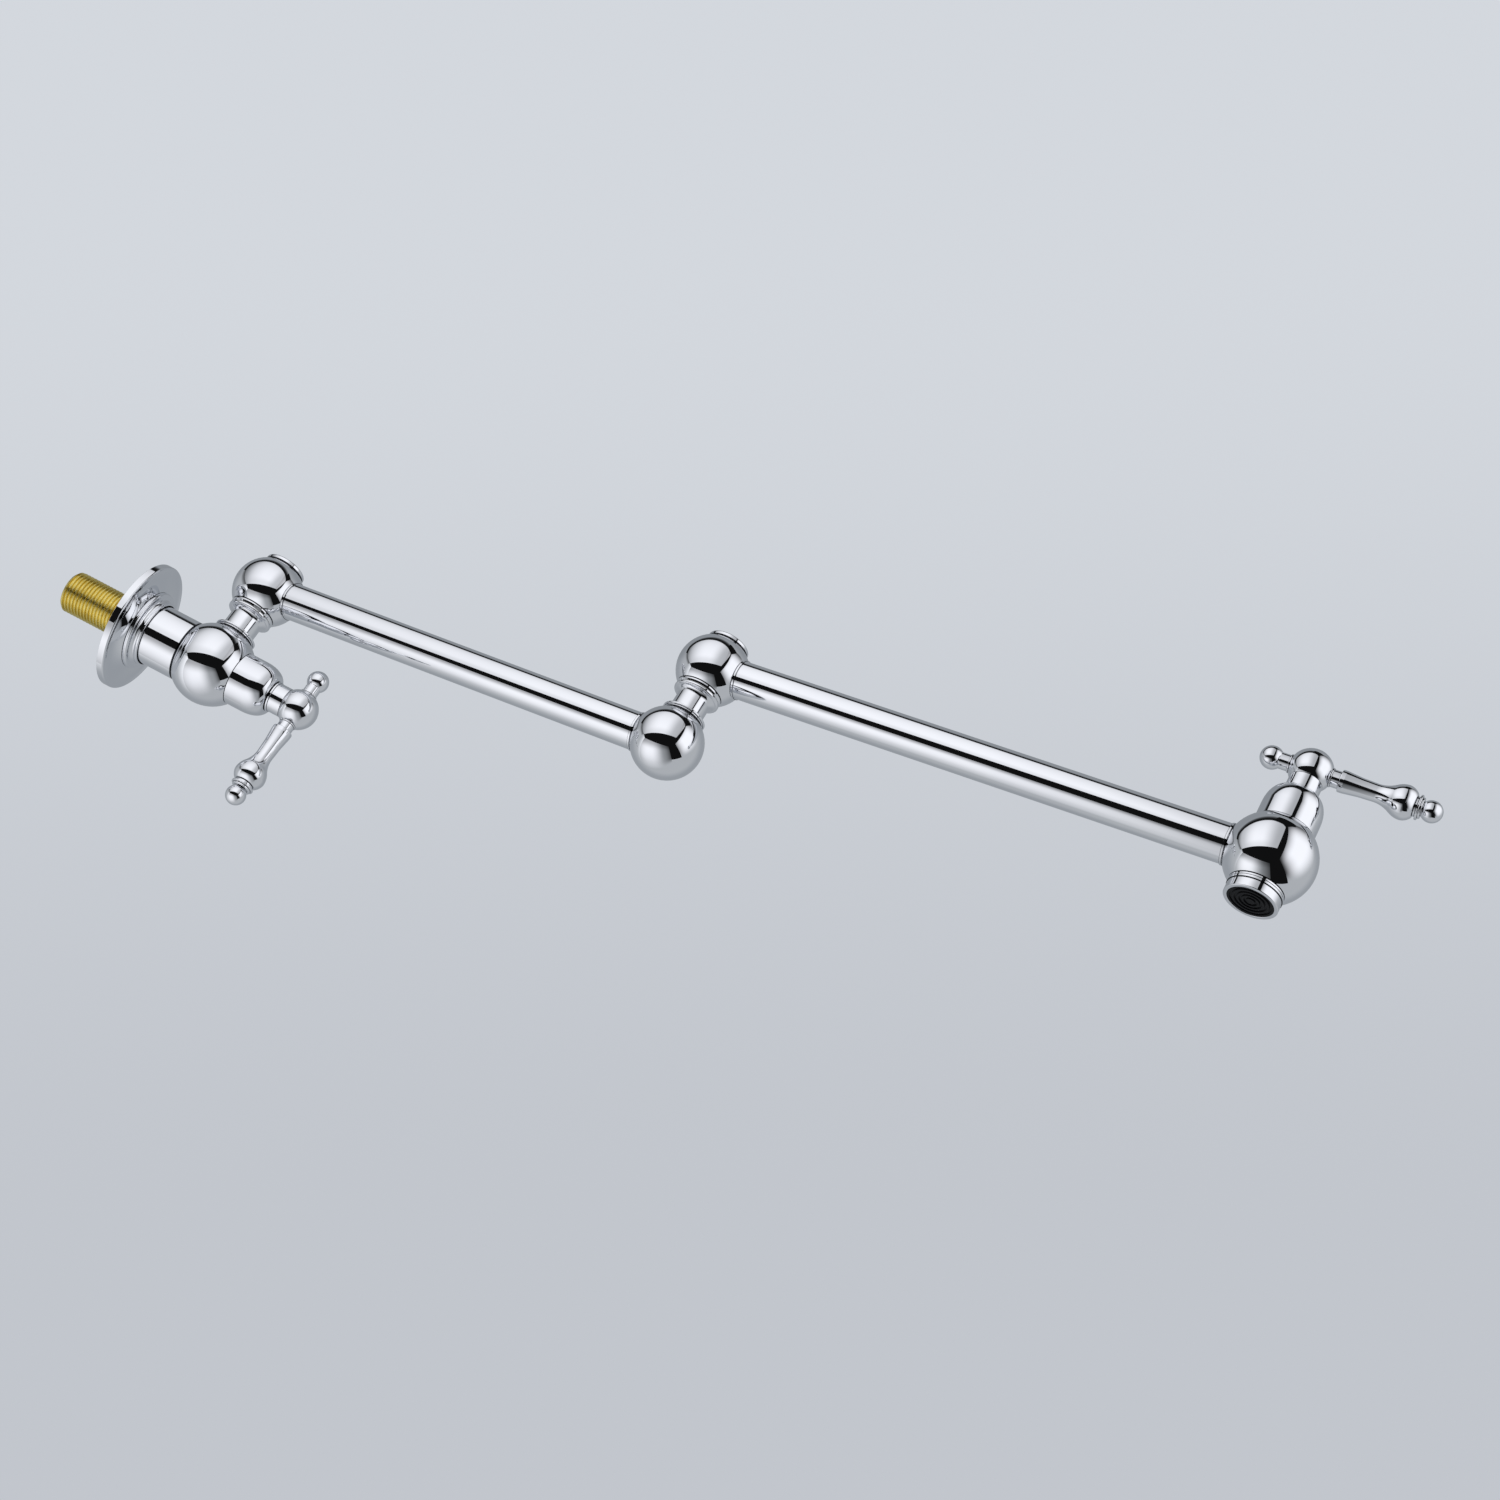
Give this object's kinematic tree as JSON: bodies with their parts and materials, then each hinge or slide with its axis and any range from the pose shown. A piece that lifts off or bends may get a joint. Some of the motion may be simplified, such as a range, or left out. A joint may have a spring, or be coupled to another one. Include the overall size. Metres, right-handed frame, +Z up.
{
  "type": "wall mounted pot filler",
  "caption": "Wall mounted pot filler: jointed swing arms between ball joints, a lever valve at the wall, another over the outlet, and a threaded inlet behind a round plate.",
  "frame": {"origin": "centre of the wall face, on the inlet axis", "axes": "+Z up, the inlet thread runs into the wall along +Y, and the arms reach out of the wall toward -Y"},
  "size_m": [0.1823, 0.6157, 0.2072],
  "materials": {
    "chrome": "bright polished chrome plate over brass",
    "brass": "bare machined brass",
    "steel": "plain stainless steel",
    "rubber": "black sealing rubber",
    "ceramic": "lapped white ceramic",
    "slip_plastic": "natural low friction plastic",
    "insert_plastic": "black moulded plastic"
  },
  "bodies": {
    "valve_body": {"inlet_nipple": "brass", "inlet_neck": "chrome", "wall_plate": "chrome", "plate_collar": "chrome", "plate_seal": "rubber", "wall_gasket": "rubber", "valve_ball": "chrome", "seat_seal_1": "rubber", "fixed_disc_1": "ceramic", "cartridge_body_1": "brass", "bonnet_1": "chrome", "swivel_post_1": "chrome", "lower_seal_1": "rubber", "upper_seal_1": "rubber", "slip_washer_1": "slip_plastic", "retaining_washer_1": "steel", "retaining_nut_1": "brass"},
    "wall_handle": {"moving_disc_1": "ceramic", "stem_1": "brass", "handle_collar_1": "chrome", "handle_hub_1": "chrome", "lever_1": "chrome", "finial_1": "chrome"},
    "arm_1": {"swivel_ball_1": "chrome", "swivel_cap_1": "chrome", "arm_tube_1": "chrome", "near_ring_1": "chrome", "far_ring_1": "chrome", "elbow_ball": "chrome", "swivel_post_2": "chrome", "lower_seal_2": "rubber", "upper_seal_2": "rubber", "slip_washer_2": "slip_plastic", "retaining_washer_2": "steel", "retaining_nut_2": "brass"},
    "arm_2": {"swivel_ball_2": "chrome", "swivel_cap_2": "chrome", "arm_tube_2": "chrome", "near_ring_2": "chrome", "far_ring_2": "chrome", "outlet_ball": "chrome", "seat_seal_2": "rubber", "fixed_disc_2": "ceramic", "cartridge_body_2": "brass", "bonnet_2": "chrome", "outlet_ring": "chrome", "aerator_washer": "rubber", "aerator_housing": "chrome", "aerator_insert": "insert_plastic", "aerator_screen": "steel"},
    "outlet_handle": {"moving_disc_2": "ceramic", "stem_2": "brass", "handle_collar_2": "chrome", "handle_hub_2": "chrome", "lever_2": "chrome", "finial_2": "chrome"}
  },
  "joints": [
    {"name": "wall_handle_turn", "type": "hinge", "parent": "valve_body", "child": "wall_handle", "pos_m": [0, -0.0911, 0], "axis": [0, -1, 0], "range_deg": [0, 90]},
    {"name": "arm_1_swing", "type": "hinge", "parent": "valve_body", "child": "arm_1", "pos_m": [0, -0.043, 0.04757], "axis": [0, 0, 1], "range_deg": [-76, 103]},
    {"name": "elbow_swing", "type": "hinge", "parent": "arm_1", "child": "arm_2", "pos_m": [-0.05414, -0.26242, 0.09165], "axis": [0, 0, 1], "continuous": true},
    {"name": "outlet_handle_turn", "type": "hinge", "parent": "arm_2", "child": "outlet_handle", "pos_m": [-0.12965, -0.52217, 0.13975], "axis": [0, 0, 1], "range_deg": [0, 90]}
  ]
}
